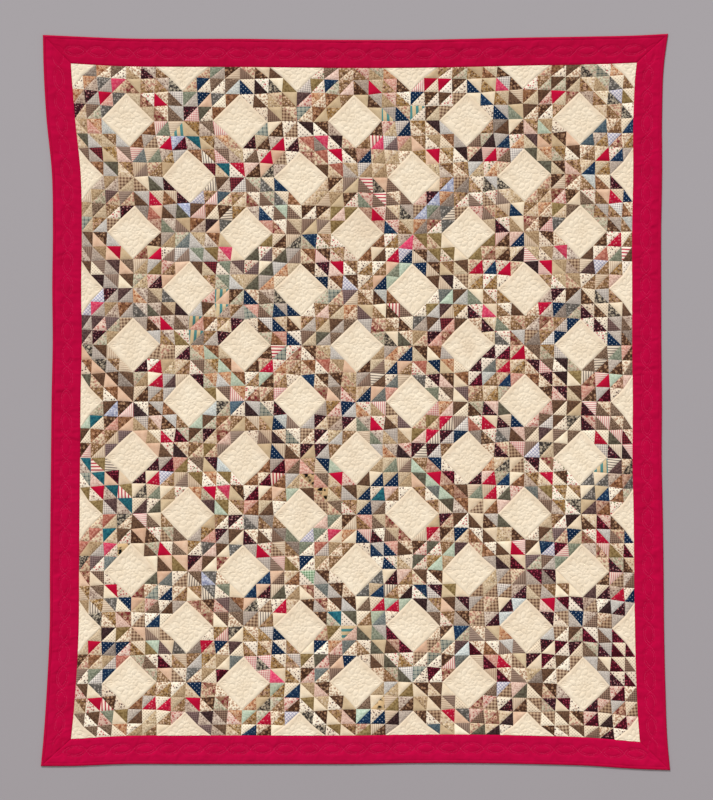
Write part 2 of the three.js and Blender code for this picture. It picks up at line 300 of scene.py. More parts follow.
COTTONS += [Cotton("light", *row) for row in LIGHT_COTTONS]

# Where some scraps lie thicker or thinner: the middle of each zone as shares of the half width and half
# length, its reach in metres, and what it does to the share of each family or cotton
ZONES = [
    (-0.80, 0.30, 0.40, dict(plum=2.6, grey=1.8, slate=1.6, tan=0.55, navy=0.1, cream=0.6)),
    (-0.80, -0.20, 0.36, dict(plum=2.2, brown=1.5, navy=0.1)),
    (-0.85, 0.85, 0.26, dict(grey=1.7, slate=2.2, plum=1.4, navy=0.2, cream=0.5)),
    (0.92, -0.84, 0.34, dict(wine_floret=56.0, plum=8.0, bark_check=16.0, cocoa_check=4.0, tan=0.15)),
    (0.92, -0.84, 0.34, dict(navy=0.02, teal=0.1, pink=0.1, blue=0.05, red=0.1, cream=1.6)),
    (0.85, 0.10, 0.30, dict(plum=2.2, brown=1.6, grey=1.5, tan=0.7)),
    (0.45, 0.10, 0.30, dict(plum=2.0, navy=1.3, slate=1.4)),
    (0.05, 0.05, 0.36, dict(navy=1.7, teal=1.8, mint=2.5, plum=0.7)),
    (-0.40, 0.05, 0.36, dict(tan=1.5, plum=0.4, mint=3.0)),
    (0.10, 0.85, 0.40, dict(tan=1.5, plum=0.6, pink=1.4, red=0.7)),
    (0.55, 0.85, 0.26, dict(navy=2.2, plum=0.6)),
    (-0.45, -0.75, 0.40, dict(navy=2.4, cream=1.8, pink=1.3, plum=0.5)),
    (0.10, -0.80, 0.34, dict(cream=1.7, tan=1.3, plum=0.6)),
    (0.50, -0.50, 0.30, dict(navy=1.6, teal=1.8, slate=2.4, grey=1.5)),
]
RED_CHANCE = 0.19
STRAY_RED_CHANCE = 0.02
CHAIN_CHANCE = 0.36
RED_INDEX = [cotton.family for cotton in COTTONS].index("red")
SEED = 1927


def zone_gains(u, v):
    """What the zones do to the share of each cotton at a place on the quilt."""
    gains = np.ones(len(COTTONS))
    for x, y, reach, changed in ZONES:
        off = math.hypot(u - x * INNER_X, v - y * INNER_Y) / reach
        here = [changed.get(cotton.name, changed.get(cotton.family, 1)) for cotton in COTTONS]
        gains *= 1 + (np.array(here) - 1) * math.exp(-off * off)
    return gains


def scrap_shares(gains, tone, red):
    """The share of each cotton of a tone under these gains, for the reds or for the rest."""
    fitting = [cotton.tone == tone and (cotton.family == "red") == red for cotton in COTTONS]
    shares = np.array([cotton.share for cotton in COTTONS]) * fitting * gains
    return shares / shares.sum()


def unit_triangles(p, q):
    """A unit's two triangles, each with its tone; their seam faces the nearest squares."""
    low_left, low_right, high_right, high_left = (p, q), (p + 1, q), (p + 1, q + 1), (p, q + 1)
    east = wrap(p + 0.5) > 0
    north = wrap(q + 0.5 - REPEAT / 2) > 0
    lower, upper = ("dark", "light") if east else ("light", "dark")
    if east == north:
        return ((low_left, low_right, high_left), lower), ((low_right, high_right, high_left), upper)
    return ((low_left, low_right, high_right), lower), ((low_left, high_right, high_left), upper)


def plan_patches():
    """Every patch as its corners, its cotton and its block, in a fixed order."""
    rng = np.random.default_rng(SEED)
    patches = []
    chains = {}
    for p in range(-HALF_ACROSS, HALF_ACROSS):
        for q in range(-HALF_ALONG, HALF_ALONG):
            beside = abs(wrap(p + 0.5)), abs(wrap(q + 0.5 - REPEAT / 2))
            halfway = 1 < min(beside) and max(beside) < 3
            for corners, tone in unit_triangles(p, q):
                middle = np.mean(corners, axis=0)
                if square_distance(*middle) < SQUARE:
                    continue
                gains = zone_gains(*(middle * CELL))
                drawn = rng.choice(len(COTTONS), p=scrap_shares(gains, tone, False))
                quarter = p // (REPEAT // 2), q // (REPEAT // 2)
                chained = chains.setdefault((quarter, sum(beside), tone), drawn)
                cotton = chained if rng.random() < CHAIN_CHANCE else drawn
                red_chance = (RED_CHANCE if halfway else STRAY_RED_CHANCE) * gains[RED_INDEX]
                if rng.random() < red_chance and tone == "dark":
                    cotton = rng.choice(len(COTTONS), p=scrap_shares(gains, tone, True))
                block = (p + HALF_ACROSS) // REPEAT, (q + HALF_ALONG) // REPEAT
                patches.append((corners, cotton, block))
    return patches


# Meshes


def add_mesh(name, points, faces, materials, slots=None, print_uv=None, fade_and_shade=None):
    """A smooth cloth mesh from arrays, with its print and bake maps."""
    mesh = bpy.data.meshes.new(name)
    corners = faces.shape[1]
    order = faces.ravel()
    mesh.vertices.add(len(points))
    mesh.vertices.foreach_set("co", points.astype(np.float32).ravel())
    mesh.loops.add(faces.size)
    mesh.loops.foreach_set("vertex_index", order.astype(np.int32))
    mesh.polygons.add(len(faces))
    mesh.polygons.foreach_set("loop_start", np.arange(0, faces.size, corners, dtype=np.int32))
    mesh.polygons.foreach_set("use_smooth", np.ones(len(faces), bool))
    for material in materials:
        mesh.materials.append(material)
    if slots is not None:
        mesh.polygons.foreach_set("material_index", slots.astype(np.int32))
    plan = points[:, :2]
    bake_uv = (plan - plan.min(axis=0)) / np.ptp(plan, axis=0)
    maps = {"OFBake": bake_uv, "print": plan / MM if print_uv is None else print_uv}
    for map_name, places in maps.items():
        layer = mesh.uv_layers.new(name=map_name)
        layer.uv.foreach_set("vector", places[order].astype(np.float32).ravel())
    # Each point's darkening: random fading and stains, with painted shade on the cream squares and painted
    # light on the border strips
    attribute = mesh.attributes.new("fade_and_shade", "FLOAT", "POINT")
    attribute.data.foreach_set("value", np.ones(len(points)) if fade_and_shade is None else fade_and_shade)
    mesh.update(calc_edges=True)
    mesh.validate()
    piece = bpy.data.objects.new(name, mesh)
    bpy.context.scene.collection.objects.link(piece)
    return piece


def grid_faces(rows, columns):
    """Quads of a grid of points whose rows run one after another."""
    index = np.arange(rows * columns).reshape(rows, columns)
    corners = index[:-1, :-1], index[:-1, 1:], index[1:, 1:], index[1:, :-1]
    return np.stack(corners, axis=-1).reshape(-1, 4)


# Materials


def colour(rgb):
    """A colour in 0 to 255 screen values, as the shader takes it."""
    share = np.array(rgb) / 255
    linear = np.where(share <= 0.04045, share / 12.92, ((share + 0.055) / 1.055) ** 2.4)
    return (*linear.tolist(), 1.0)


class Nodes:
    """Short calls that add shader nodes and give back what they put out."""

    def __init__(self, name):
        self.material = bpy.data.materials.new(name)
        self.material.use_nodes = True
        self.tree = self.material.node_tree
        self.shader = self.tree.nodes["Principled BSDF"]

    def add(self, kind, values, **settings):
        node = self.tree.nodes.new("ShaderNode" + kind)
        for key, value in settings.items():
            setattr(node, key, value)
        for key, value in values.items():
            self.put(node.inputs[key], value)
        return node

    def put(self, socket, value):
        if isinstance(value, bpy.types.NodeSocket):
            self.tree.links.new(value, socket)
        else:
            socket.default_value = value

    def math(self, operation, first, second=0.0):
        return self.add("Math", {0: first, 1: second}, operation=operation).outputs[0]

    def scaled(self, value, by, plus):
        return self.math("ADD", self.math("MULTIPLY", value, by), plus)

    def surface(self, base, roughness, specular):
        """Sets what the shader shows."""
        values = {"Base Color": base, "Roughness": roughness, "Specular IOR Level": specular}
        for key, value in values.items():
            self.put(self.shader.inputs[key], value)

    def mix(self, factor, first, second, blend="MIX"):
        """Two colours mixed, each a screen colour or what another node puts out."""
        pair = [colour(side) if isinstance(side, tuple) else side for side in (first, second)]
        values = {0: factor, 6: pair[0], 7: pair[1]}
        return self.add("Mix", values, data_type="RGBA", blend_type=blend).outputs[2]

    def above(self, value, edge, soft):
        """Rises from 0 to 1 as value passes edge, or falls where soft is negative."""
        values = {"Value": value, "From Min": edge - soft, "From Max": edge + soft}
        return self.add("MapRange", values).outputs[0]

    def noise(self, place, size, detail=2.0):
        values = {"Vector": place, "Scale": 1 / size, "Detail": detail}
        return self.add("TexNoise", values, noise_dimensions="2D").outputs

    def spots(self, place, pitch, randomness):
        values = {"Vector": place, "Scale": 1 / pitch, "Randomness": randomness}
        return self.add("TexVoronoi", values, voronoi_dimensions="2D").outputs

    def print_place(self):
        return self.add("UVMap", {}, uv_map="print").outputs[0]

    def turned(self, place, degrees):
        values = {"Vector": place, "Angle": math.radians(degrees)}
        return self.add("VectorRotate", values, rotation_type="Z_AXIS").outputs[0]

    def shaken(self, place, size, amount):
        """The place moved about by noise, for motifs that aren't round."""
        moved = self.noise(place, size)["Color"]
        centred = self.add("VectorMath", {0: moved, 1: (0.5, 0.5, 0.5)}, operation="SUBTRACT").outputs[0]
        scaled = self.add("VectorMath", {0: centred, "Scale": amount}, operation="SCALE").outputs[0]
        return self.add("VectorMath", {0: place, 1: scaled}, operation="ADD").outputs[0]

    def bars(self, place, axis, pitch, width):
        """1 on stripes across an axis, which take up a share of each pitch."""
        along = self.add("SeparateXYZ", {0: place}).outputs[axis]
        share = self.math("FRACT", self.math("DIVIDE", along, pitch))
        return self.math("LESS_THAN", share, width)


# Prints: each gives the colour of a cotton at a place


def print_plain(n, place, c):
    cloud = n.noise(place, c.pitch, 4)[0]
    return n.mix(n.above(cloud, 0.5, 0.2), c.ground, c.motif)


def print_mottle(n, place, c):
    speck = n.noise(place, c.pitch, 3)[0]
    return n.mix(n.above(speck, 0.52, 0.11), c.ground, c.motif)


def print_dots(n, place, c):
    spot = n.spots(n.turned(place, 45), c.pitch, 0.0)["Distance"]
    return n.mix(n.above(spot, c.size / c.pitch, -0.05), c.ground, c.motif)


def marks(n, place, pitch, size, soft):
    """Scattered marks of many sizes: how far one covers each place, and its own number."""
    spots = n.spots(place, pitch, 0.85)
    own = n.add("SeparateColor", {0: spots["Color"]}).outputs
    edge = n.math("MULTIPLY", n.math("ADD", own[0], 0.45), size / pitch)
    return n.above(n.math("SUBTRACT", spots["Distance"], edge), 0.0, -soft), own[1]


def print_sprig(n, place, c):
    shaken = n.shaken(place, c.pitch / 3, c.pitch / 2.5)
    flower, hue = marks(n, shaken, c.pitch, 1.4 * c.size, 0.08)
    leaf, _ = marks(n, n.turned(shaken, 33), c.pitch * 0.8, 0.8 * c.size, 0.08)
    ground = n.mix(leaf, c.ground, c.accent)
    petals = n.mix(n.above(hue, 0.72, 0.05), c.motif, c.accent)
    return n.mix(flower, ground, petals)


def print_floral(n, place, c):
    shaken = n.shaken(place, c.pitch / 2, c.pitch / 2)
    flower, hue = marks(n, shaken, c.pitch, c.size, 0.12)
    leaf, _ = marks(n, n.turned(shaken, 50), c.pitch * 0.7, 0.8 * c.size, 0.12)
    heart, _ = marks(n, shaken, c.pitch, 0.4 * c.size, 0.06)
    ground = n.mix(leaf, c.ground, c.motif)
    mixed = n.mix(0.45, c.accent, c.motif)
    petals = n.mix(n.above(hue, 0.6, 0.2), c.accent, mixed)
    return n.mix(heart, n.mix(flower, ground, petals), c.motif)


def print_stripe(n, place, c):
    return n.mix(n.bars(place, 0, c.pitch, c.size), c.ground, c.motif)


def print_check(n, place, c):
    across = n.bars(place, 0, c.pitch, c.size)
    along = n.bars(place, 1, c.pitch, c.size)
    depth = n.math("MULTIPLY", n.math("ADD", across, along), 0.5)
    return n.mix(depth, c.ground, c.motif)


def print_plaid(n, place, c):
    check = print_check(n, place, c)
    fine = n.math("MAXIMUM", n.bars(place, 0, c.pitch / 2, 0.12), n.bars(place, 1, c.pitch / 2, 0.12))
    return n.mix(n.math("MULTIPLY", fine, 0.6), check, c.accent)


def print_lattice(n, place, c):
    turned = n.turned(place, 45)
    lines = n.math("MAXIMUM", n.bars(turned, 0, c.pitch, c.size), n.bars(turned, 1, c.pitch, c.size))
    return n.mix(n.math("MULTIPLY", lines, 0.8), c.ground, c.motif)


PRINTS = dict(
    plain=print_plain, mottle=print_mottle, dots=print_dots, sprig=print_sprig, floral=print_floral,
    stripe=print_stripe, check=print_check, plaid=print_plaid, lattice=print_lattice,
)
THREAD = 0.5
SCRAP_GRAIN = 0.3
SOLID_GRAIN = 0.12
SOLID_PITCH = 40


def weave(n, place):
    """Height of a plain weave: over and under along both threads."""
    turn = 2 * math.pi / (2 * THREAD)
    parts = n.add("SeparateXYZ", {0: place}).outputs
    warp = n.math("SINE", n.math("MULTIPLY", parts[0], turn))
    weft = n.math("SINE", n.math("MULTIPLY", parts[1], turn))
    return n.math("MULTIPLY", warp, weft)


def cotton_material(name, cotton, grain):
    """Matte woven cotton with its print; grain is how uneven the threads make it."""
    n = Nodes(name)
    place = n.print_place()
    threads = weave(n, place)
    slub = n.noise(place, 3.0, 4)[0]
    # The mesh's darkening attribute holds random fading and stains, with painted shade and painted light
    fade_and_shade = n.add("Attribute", {}, attribute_name="fade_and_shade").outputs["Fac"]
    # Painted shade in the weave: up to 3% darker where the threads dip
    shade = n.math("MULTIPLY", fade_and_shade, n.scaled(threads, 0.03, 0.99))
    slubbed = n.math("MULTIPLY", shade, n.scaled(slub, grain, 1 - grain / 2))
    # All this darkening, painted shade included, is kept warm: red falls less and blue more
    red = n.math("POWER", slubbed, 0.7)
    blue = n.math("POWER", slubbed, 1.2)
    warm_fade_and_shade = n.add("CombineColor", {0: red, 1: slubbed, 2: blue}).outputs[0]
    printed = PRINTS[cotton.print](n, place, cotton)
    n.surface(n.mix(1.0, printed, warm_fade_and_shade, "MULTIPLY"), n.scaled(slub, 0.12, 0.82), 0.06)
    values = {"Strength": 0.35, "Distance": 0.2 * MM, "Height": n.scaled(threads, 0.35, slub)}
    n.put(n.shader.inputs["Normal"], n.add("Bump", values).outputs[0])
    return n.material


def solid_material(name, rgb, other):
    """A plain cotton whose colour drifts softly between two."""
    return cotton_material(name, Cotton("", name, "", 0, "plain", rgb, other, SOLID_PITCH), SOLID_GRAIN)


# Pieces

# How uneven patches are: the tilt of their prints, where in the cloth they are cut, and their fading
PRINT_TILT = 0.05
PRINT_SPREAD = 900
PATCH_FADE = 0.085


def triangle_grid(steps):
    """Shares of the corners at each point of a divided triangle, and its small faces."""
    rows = [(i, j) for i in range(steps + 1) for j in range(steps + 1 - i)]
    index = {place: k for k, place in enumerate(rows)}
    shares = np.array([(steps - i - j, i, j) for i, j in rows]) / steps
    faces = []
    for i, j in rows:
        if i + j < steps:
            faces.append((index[i, j], index[i + 1, j], index[i, j + 1]))
        if i + j < steps - 1:
            faces.append((index[i + 1, j], index[i + 1, j + 1], index[i, j + 1]))
    return shares, np.array(faces)


def patch_height(u, v, shares, corners):
    """Height of patches: each puffs up between its three seams."""
    edge = corners - np.roll(corners, 1, axis=1)
    length = np.linalg.norm(edge, axis=2)
    area = np.abs(edge[:, 0, 0] * edge[:, 1, 1] - edge[:, 0, 1] * edge[:, 1, 0])
    opposite = np.roll(length, 1, axis=1)
    nearest = (shares * (area[:, None] / opposite)[:, None]).min(axis=2)
    lift = puff(nearest, PATCH_PUFF)
    return SEAM_Z + PATCH_RISE * lift + crinkle(u, v) * held_down(nearest, SEAM_CRINKLE)


def print_places(rng, u, v, middle):
    """Each patch's own place in its print, in millimetres: offset, and turned by quarters."""
    count = len(u)
    angle = rng.integers(0, 4, count) * math.pi / 2 + rng.normal(0, PRINT_TILT, count)
    offset = rng.uniform(0, PRINT_SPREAD, (count, 2))
    x = (u - middle[:, :1]) / MM
    y = (v - middle[:, 1:]) / MM
    cos = np.cos(angle)[:, None]
    sin = np.sin(angle)[:, None]
    return np.stack([x * cos - y * sin + offset[:, :1], x * sin + y * cos + offset[:, 1:]], axis=-1)


def make_blocks():
    """The patches, in blocks of one repeat each way."""
    patches = plan_patches()
    materials = [cotton_material("cotton_" + c.name, c, SCRAP_GRAIN) for c in COTTONS]
    shares, faces = triangle_grid(PATCH_STEPS)
    grid = np.array([corners for corners, _, _ in patches])
    corners = np.stack(seam_point(grid[..., 0], grid[..., 1]), axis=-1)
    flat = np.einsum("kc,pcx->pkx", shares, corners)
    u, v = flat[..., 0], flat[..., 1]
    points = lie(u, v, patch_height(u, v, shares, corners))
    rng = np.random.default_rng(SEED + 1)
    places = print_places(rng, u, v, corners.mean(axis=1))
    fade_and_shade = rng.normal(1.0, PATCH_FADE, len(patches))
    cottons = np.array([cotton for _, cotton, _ in patches])
    blocks = [block for _, _, block in patches]
    pieces = []
    for block in sorted(set(blocks)):
        mine = np.array([i for i, other in enumerate(blocks) if other == block])
        used, slots = np.unique(cottons[mine], return_inverse=True)
        start = np.arange(len(mine))[:, None, None] * len(shares)
        pieces.append(add_mesh(
            f"block_{block[0] + 1}_{block[1] + 1}",
            points[mine].reshape(-1, 3),
            (faces + start).reshape(-1, 3),
            [materials[k] for k in used],
            np.repeat(slots, len(faces)),
            places[mine].reshape(-1, 2),
            np.repeat(fade_and_shade[mine], len(shares)),
        ))
    return pieces


# Quilting in the cream squares: a feathered wreath, and a leaf that points to each corner

WREATH = 23 * MM
OUTER_FEATHER = 18.5 * MM
INNER_FEATHER = 12 * MM
OUTER_FEATHERS = 12
INNER_FEATHERS = 7
FEATHER_LEAN = 0.4
FEATHER_ROUND = 0.55
FLOWER = 6 * MM
FLOWER_PETALS = 5
LEAF_START = 43.5 * MM
LEAF_END = 66 * MM
LEAF_HALF = 6.5 * MM
# How many points are drawn along each kind of line
RING_POINTS = 80
TIP_POINTS = 15
RISE_POINTS = 5
LEAF_POINTS = 20
# How far the quilting strays, over what distance, and its seed
SQUARE_WAVER = 1.8 * MM, 27 * MM, 11
SQUARE_TONE = 0.02
# Painted shade along a square's upper edges, partly also the seams that show through the muslin: how dark,
# and how far in
UPPER_SHADE = 0.115
UPPER_SHADE_REACH = 18 * MM
# Faint stains on the cream: place and reach in millimetres, and how much they darken
STAINS = [
    (14, 462, 34, 0.1), (308, 152, 34, 0.08), (-151, -304, 36, 0.06),
    (1, -152, 36, 0.05), (1, -459, 36, 0.04),
]
# How far the cloth dips beside a stitched line: a narrow groove within a wider pad
GROOVE = 3.6 * MM
GROOVE_SHARE = 0.65
PAD = 9 * MM


def feathers(radius, angle, count, length, outwards):
    """Distance to the stitching of a ring of feathers beside the wreath's stem."""
    beyond = (radius - WREATH) * outwards
    lean = FEATHER_LEAN * beyond / length
    share = (angle / (2 * math.pi) * count + lean) % 1 - 0.5
    side = 2 * math.pi * np.maximum(radius, 4 * MM) / count * (0.5 - np.abs(share))
    tip = length * (1 - FEATHER_ROUND * (2 * share) ** 2) - beyond
    inside = np.minimum(np.minimum(side, np.abs(tip)), np.abs(beyond))
    return np.where(beyond < 0, np.inf, np.where(tip > 0, inside, np.abs(tip)))


def corner_leaves(x, y):
    """Distance to the stitching of the leaf at each corner of a square."""
    along = np.maximum(np.abs(x), np.abs(y))
    across = np.minimum(np.abs(x), np.abs(y))
    share = (along - LEAF_START) / (LEAF_END - LEAF_START)
    outline = np.abs(across - LEAF_HALF * np.sin(math.pi * np.clip(share, 0, 1)))
    return np.where((share > 0) & (share < 1), np.minimum(outline, across), np.inf)


def flower_edge(angle):
    return FLOWER * (0.8 + 0.2 * np.cos(FLOWER_PETALS * angle))


def square_stitching(x, y, turn):
    """Distance to the nearest stitched line, at places from a square's middle."""
    radius = np.hypot(x, y)
    angle = np.arctan2(y, x) + turn
    edge = (SQUARE * CELL - np.abs(x) - np.abs(y)) / math.sqrt(2)
    outer = feathers(radius, angle, OUTER_FEATHERS, OUTER_FEATHER, 1)
    inner = feathers(radius, angle, INNER_FEATHERS, INNER_FEATHER, -1)
    wreath = np.minimum(np.minimum(outer, inner), np.abs(radius - flower_edge(angle)))
    return np.maximum(np.minimum(np.minimum(wreath, edge), corner_leaves(x, y)), 0)


def feather_lines(count, length, outwards):
    """The outline of each feather of a ring, as distances from the middle and angles."""
    share = np.linspace(-0.5, 0.5, TIP_POINTS)
    beyond = length * (1 - FEATHER_ROUND * (2 * share) ** 2)
    rise = np.linspace(0, beyond[0], RISE_POINTS)
    share = np.concatenate([np.full(RISE_POINTS, -0.5), share])
    beyond = np.concatenate([rise, beyond])
    step = share + 0.5 - FEATHER_LEAN * beyond / length
    return [(WREATH + outwards * beyond, (step + k) * 2 * math.pi / count) for k in range(count)]


def square_lines(turn):
    """Every stitched line of a cream square, as points from its middle."""
    around = np.linspace(0, 2 * math.pi, RING_POINTS)
    rings = [(np.full(RING_POINTS, WREATH), around), (flower_edge(around), around)]
    rings += feather_lines(OUTER_FEATHERS, OUTER_FEATHER, 1)
    rings += feather_lines(INNER_FEATHERS, INNER_FEATHER, -1)
    lines = [np.stack([r * np.cos(a - turn), r * np.sin(a - turn)], axis=1) for r, a in rings]
    share = np.linspace(0, 1, LEAF_POINTS)
    along = LEAF_START + share * (LEAF_END - LEAF_START)
    for width in (LEAF_HALF, 0, -LEAF_HALF):
        across = width * np.sin(math.pi * share)
        for turned in ((along, across), (-across, along), (-along, -across), (across, -along)):
            lines.append(np.stack(turned, axis=1))
    return lines


def square_faces(steps):
    """A square's faces, split so that it can be cut through its corners."""
    quads = grid_faces(steps + 1, steps + 1)
    row = (np.arange(len(quads)) // steps) - (steps - 1) / 2
    column = (np.arange(len(quads)) % steps) - (steps - 1) / 2
    along = (row * column > 0)[:, None]
    first = np.where(along, quads[:, [0, 1, 2]], quads[:, [0, 1, 3]])
    second = np.where(along, quads[:, [0, 2, 3]], quads[:, [1, 2, 3]])
    return np.concatenate([first, second])


def corner_weights(s, t, along):
    """How much each corner of a quarter square, two triangles, counts at a place in it."""
    near = np.maximum(1 - s - t, 0)
    far = np.maximum(s + t - 1, 0)
    return {
        (0, 0): np.where(along, 1 - np.maximum(s, t), near),
        (1, 1): np.where(along, np.minimum(s, t), far),
        (1, 0): np.where(along, np.maximum(s - t, 0), s - far),
        (0, 1): np.where(along, np.maximum(t - s, 0), t - far),
    }


def stain(u, v):
    """How much the faint stains darken the cloth."""
    depth = np.zeros_like(u)
    for *place, strength in STAINS:
        across, along, reach = np.array(place) * MM
        off = np.hypot(u - across, v - along) / reach + 0.5 * ripple(u, v, reach, 51)
        depth += strength * np.exp(-off * off)
    return depth


def wreath_turn(centre_p, centre_q):
    return math.pi * scatter(centre_p, centre_q, 9)


def square_grid():
    """Places along both sides of a square, from -1 to 1, at each point of its grid."""
    side = np.linspace(-1, 1, SQUARE_STEPS + 1)
    a, b = np.meshgrid(side, side, indexing="ij")
    return a.ravel(), b.ravel()


def square_flat(centre_p, centre_q, a, b):
    """Flat places in a cream square, given along its sides, with its corners on the seams."""
    low_a = np.where(a >= 0, 0.0, -1.0)
    low_b = np.where(b >= 0, 0.0, -1.0)
    u = np.zeros_like(a)
    v = np.zeros_like(a)
    for (step_a, step_b), weight in corner_weights(a - low_a, b - low_b, low_a == low_b).items():
        corner_a = np.clip(low_a + step_a, -1, 1)
        corner_b = np.clip(low_b + step_b, -1, 1)
        corner_u, corner_v = seam_point(centre_p + corner_a - corner_b, centre_q + corner_a + corner_b)
        u += weight * corner_u
        v += weight * corner_v
    return u, v


def square_height(u, v, p, q, turn):
    """Height of a cream square at flat places, p and q cells from its middle if it were even."""
    stray = waver(u, v, *SQUARE_WAVER)
    from_edge = (SQUARE - np.abs(p) - np.abs(q)) * CELL
    stitched = square_stitching(p * CELL + stray[0], q * CELL + stray[1], turn)
    lift = GROOVE_SHARE * puff(stitched, GROOVE) + (1 - GROOVE_SHARE) * puff(stitched, PAD)
    raised = SQUARE_RISE * lift * held_down(from_edge, 0)
    return SEAM_Z + raised + crinkle(u, v) * held_down(from_edge, SEAM_CRINKLE)


def square_piece(centre_p, centre_q):
    """Points, print places, shades and faces of a cream square inside the border."""
    a, b = square_grid()
    p = a - b
    q = a + b
    faces = square_faces(SQUARE_STEPS)
    middle_p = centre_p + p[faces].mean(axis=1)
    middle_q = centre_q + q[faces].mean(axis=1)
    kept = (np.abs(middle_p) < HALF_ACROSS) & (np.abs(middle_q) < HALF_ALONG)
    u, v = square_flat(centre_p, centre_q, a, b)
    z = square_height(u, v, p, q, wreath_turn(centre_p, centre_q))
    # The upper edges are painted darker: painted shade, partly also the seams that show through
    from_upper = (SQUARE - np.abs(p) - q) * CELL / math.sqrt(2)
    upper_shade = UPPER_SHADE * puff(UPPER_SHADE_REACH - from_upper, UPPER_SHADE_REACH)
    tone = 1 + SQUARE_TONE * scatter(centre_p, centre_q, 14) - stain(u, v) - upper_shade
    used, renumbered = np.unique(faces[kept], return_inverse=True)
    places = np.stack([u, v], axis=1) / MM
    return lie(u, v, z)[used], places[used], tone[used], renumbered.reshape(-1, 3)


def square_rows():
    """Each row of cream squares: its place along, and theirs across, in cells."""
    half = REPEAT // 2
    for row, q in enumerate(range(-HALF_ALONG, HALF_ALONG + 1, half)):
        yield q, range(-HALF_ACROSS + (half if row % 2 else 0), HALF_ACROSS + 1, REPEAT)


def make_squares():
    """The cream squares, in one piece for each row of them."""
    cream = solid_material("cream_muslin", CREAM, (234, 216, 189))
    pieces = []
    for row, (q, across) in enumerate(square_rows()):
        points, places, tones, faces = zip(*[square_piece(p, q) for p in across])
        starts = np.cumsum([0, *(len(part) for part in points[:-1])])
        pieces.append(add_mesh(
            f"squares_row_{row + 1}",
            np.concatenate(points),
            np.concatenate([part + start for part, start in zip(faces, starts)]),
            [cream],
            print_uv=np.concatenate(places),
            fade_and_shade=np.concatenate(tones),
        ))
    return pieces


# Border and binding strips

# Each strip's shade is painted light: the top strip darker and the bottom one lighter, as the light falls
# unevenly along the quilt
Side = namedtuple("Side", "name out inner outer drawn_in shade")
SIDES = [
    Side("bottom", (0, -1), INNER_X, OUTER_Y, DRAWN_IN_BOTTOM, 1.04),
    Side("right", (1, 0), INNER_Y, OUTER_X, DRAWN_IN_SIDES, 0.98),
    Side("top", (0, 1), INNER_X, OUTER_Y, DRAWN_IN_TOP, 0.91),
    Side("left", (-1, 0), INNER_Y, OUTER_X, DRAWN_IN_SIDES, 0.98),
]
LINK_PITCH = 62 * MM
LINK_LENGTH = 46 * MM
LINK_HALF_WIDTH = 10 * MM
STRAND_HALF_WIDTH = 14 * MM
CABLE_INSET = 40 * MM
BORDER_WAVER = 1.0 * MM, 30 * MM, 21
BORDER_PUFF = 5 * MM
CREASE = 1.1 * MM


def strip_flat(side, along, inset):
    """Flat places on a strip, along its length and in from the outer edge."""
    out_x, out_y = side.out
    across = np.clip((inset - CABLE_INSET) / (BORDER - CABLE_INSET), 0, 1)
    reach = side.outer - inset - across * drawn_in(along, side.inner, side.drawn_in)
    return out_x * reach - out_y * along, out_y * reach + out_x * along


def strip_grid(side, insets, step):
    """Places along a strip, evenly spread from mitre to mitre at each inset."""
    count = round(2 * side.inner / step)
    share = np.linspace(-1, 1, count + 1)
    along = share[:, None] * (side.inner + BORDER - insets)
    return along, np.broadcast_to(insets, along.shape)


def from_link(along):
    """Signed distance along a strip to the nearest link's middle."""
    return (along + LINK_PITCH / 2) % LINK_PITCH - LINK_PITCH / 2


def link_height(share):
    """Half the width of a link, at a share of its half length."""
    return LINK_HALF_WIDTH * np.maximum(1 - share**2, 0) ** 0.75


def strand_height(share):
    """How far the strands lie from the cable's middle, at a share of half a pitch."""
    return STRAND_HALF_WIDTH * (1 - np.abs(share) ** 3)


def cable_stitching(along, inset):
    """Distance to the cable's lines: rounded links, and two strands that cross between."""
    off = np.abs(from_link(along))
    height = np.abs(inset - CABLE_INSET)
    share = off / (LINK_LENGTH / 2)
    steep = 1.5 * LINK_HALF_WIDTH / (LINK_LENGTH / 2) * share / np.maximum(1 - share**2, 0.02) ** 0.25
    link = np.abs(height - link_height(share)) / np.sqrt(1 + steep**2)
    link = np.where(share > 1, np.hypot(off - LINK_LENGTH / 2, height), link)
    share = off / (LINK_PITCH / 2)
    steep = 3 * STRAND_HALF_WIDTH / (LINK_PITCH / 2) * share**2
    strand = np.abs(height - strand_height(share)) / np.sqrt(1 + steep**2)
    return np.minimum(link, strand)


def border_pucker(along, inset):
    """Small creases across the strip, deepest where the cable's strands cross."""
    clear = np.clip((np.abs(inset - CABLE_INSET) - 3 * MM) / (12 * MM), 0, 1)
    crossing = 0.5 - 0.5 * np.cos(2 * math.pi * along / LINK_PITCH)
    fan = along + 0.25 * np.abs(inset - CABLE_INSET) * np.sin(2 * math.pi * along / LINK_PITCH)
    creases = 0.8 * ripple(fan, inset / 5, 8 * MM, 23) + 0.8 * ripple(fan, inset / 4, 5 * MM, 24)
    return CREASE * clear * (0.35 + 0.65 * crossing) * creases


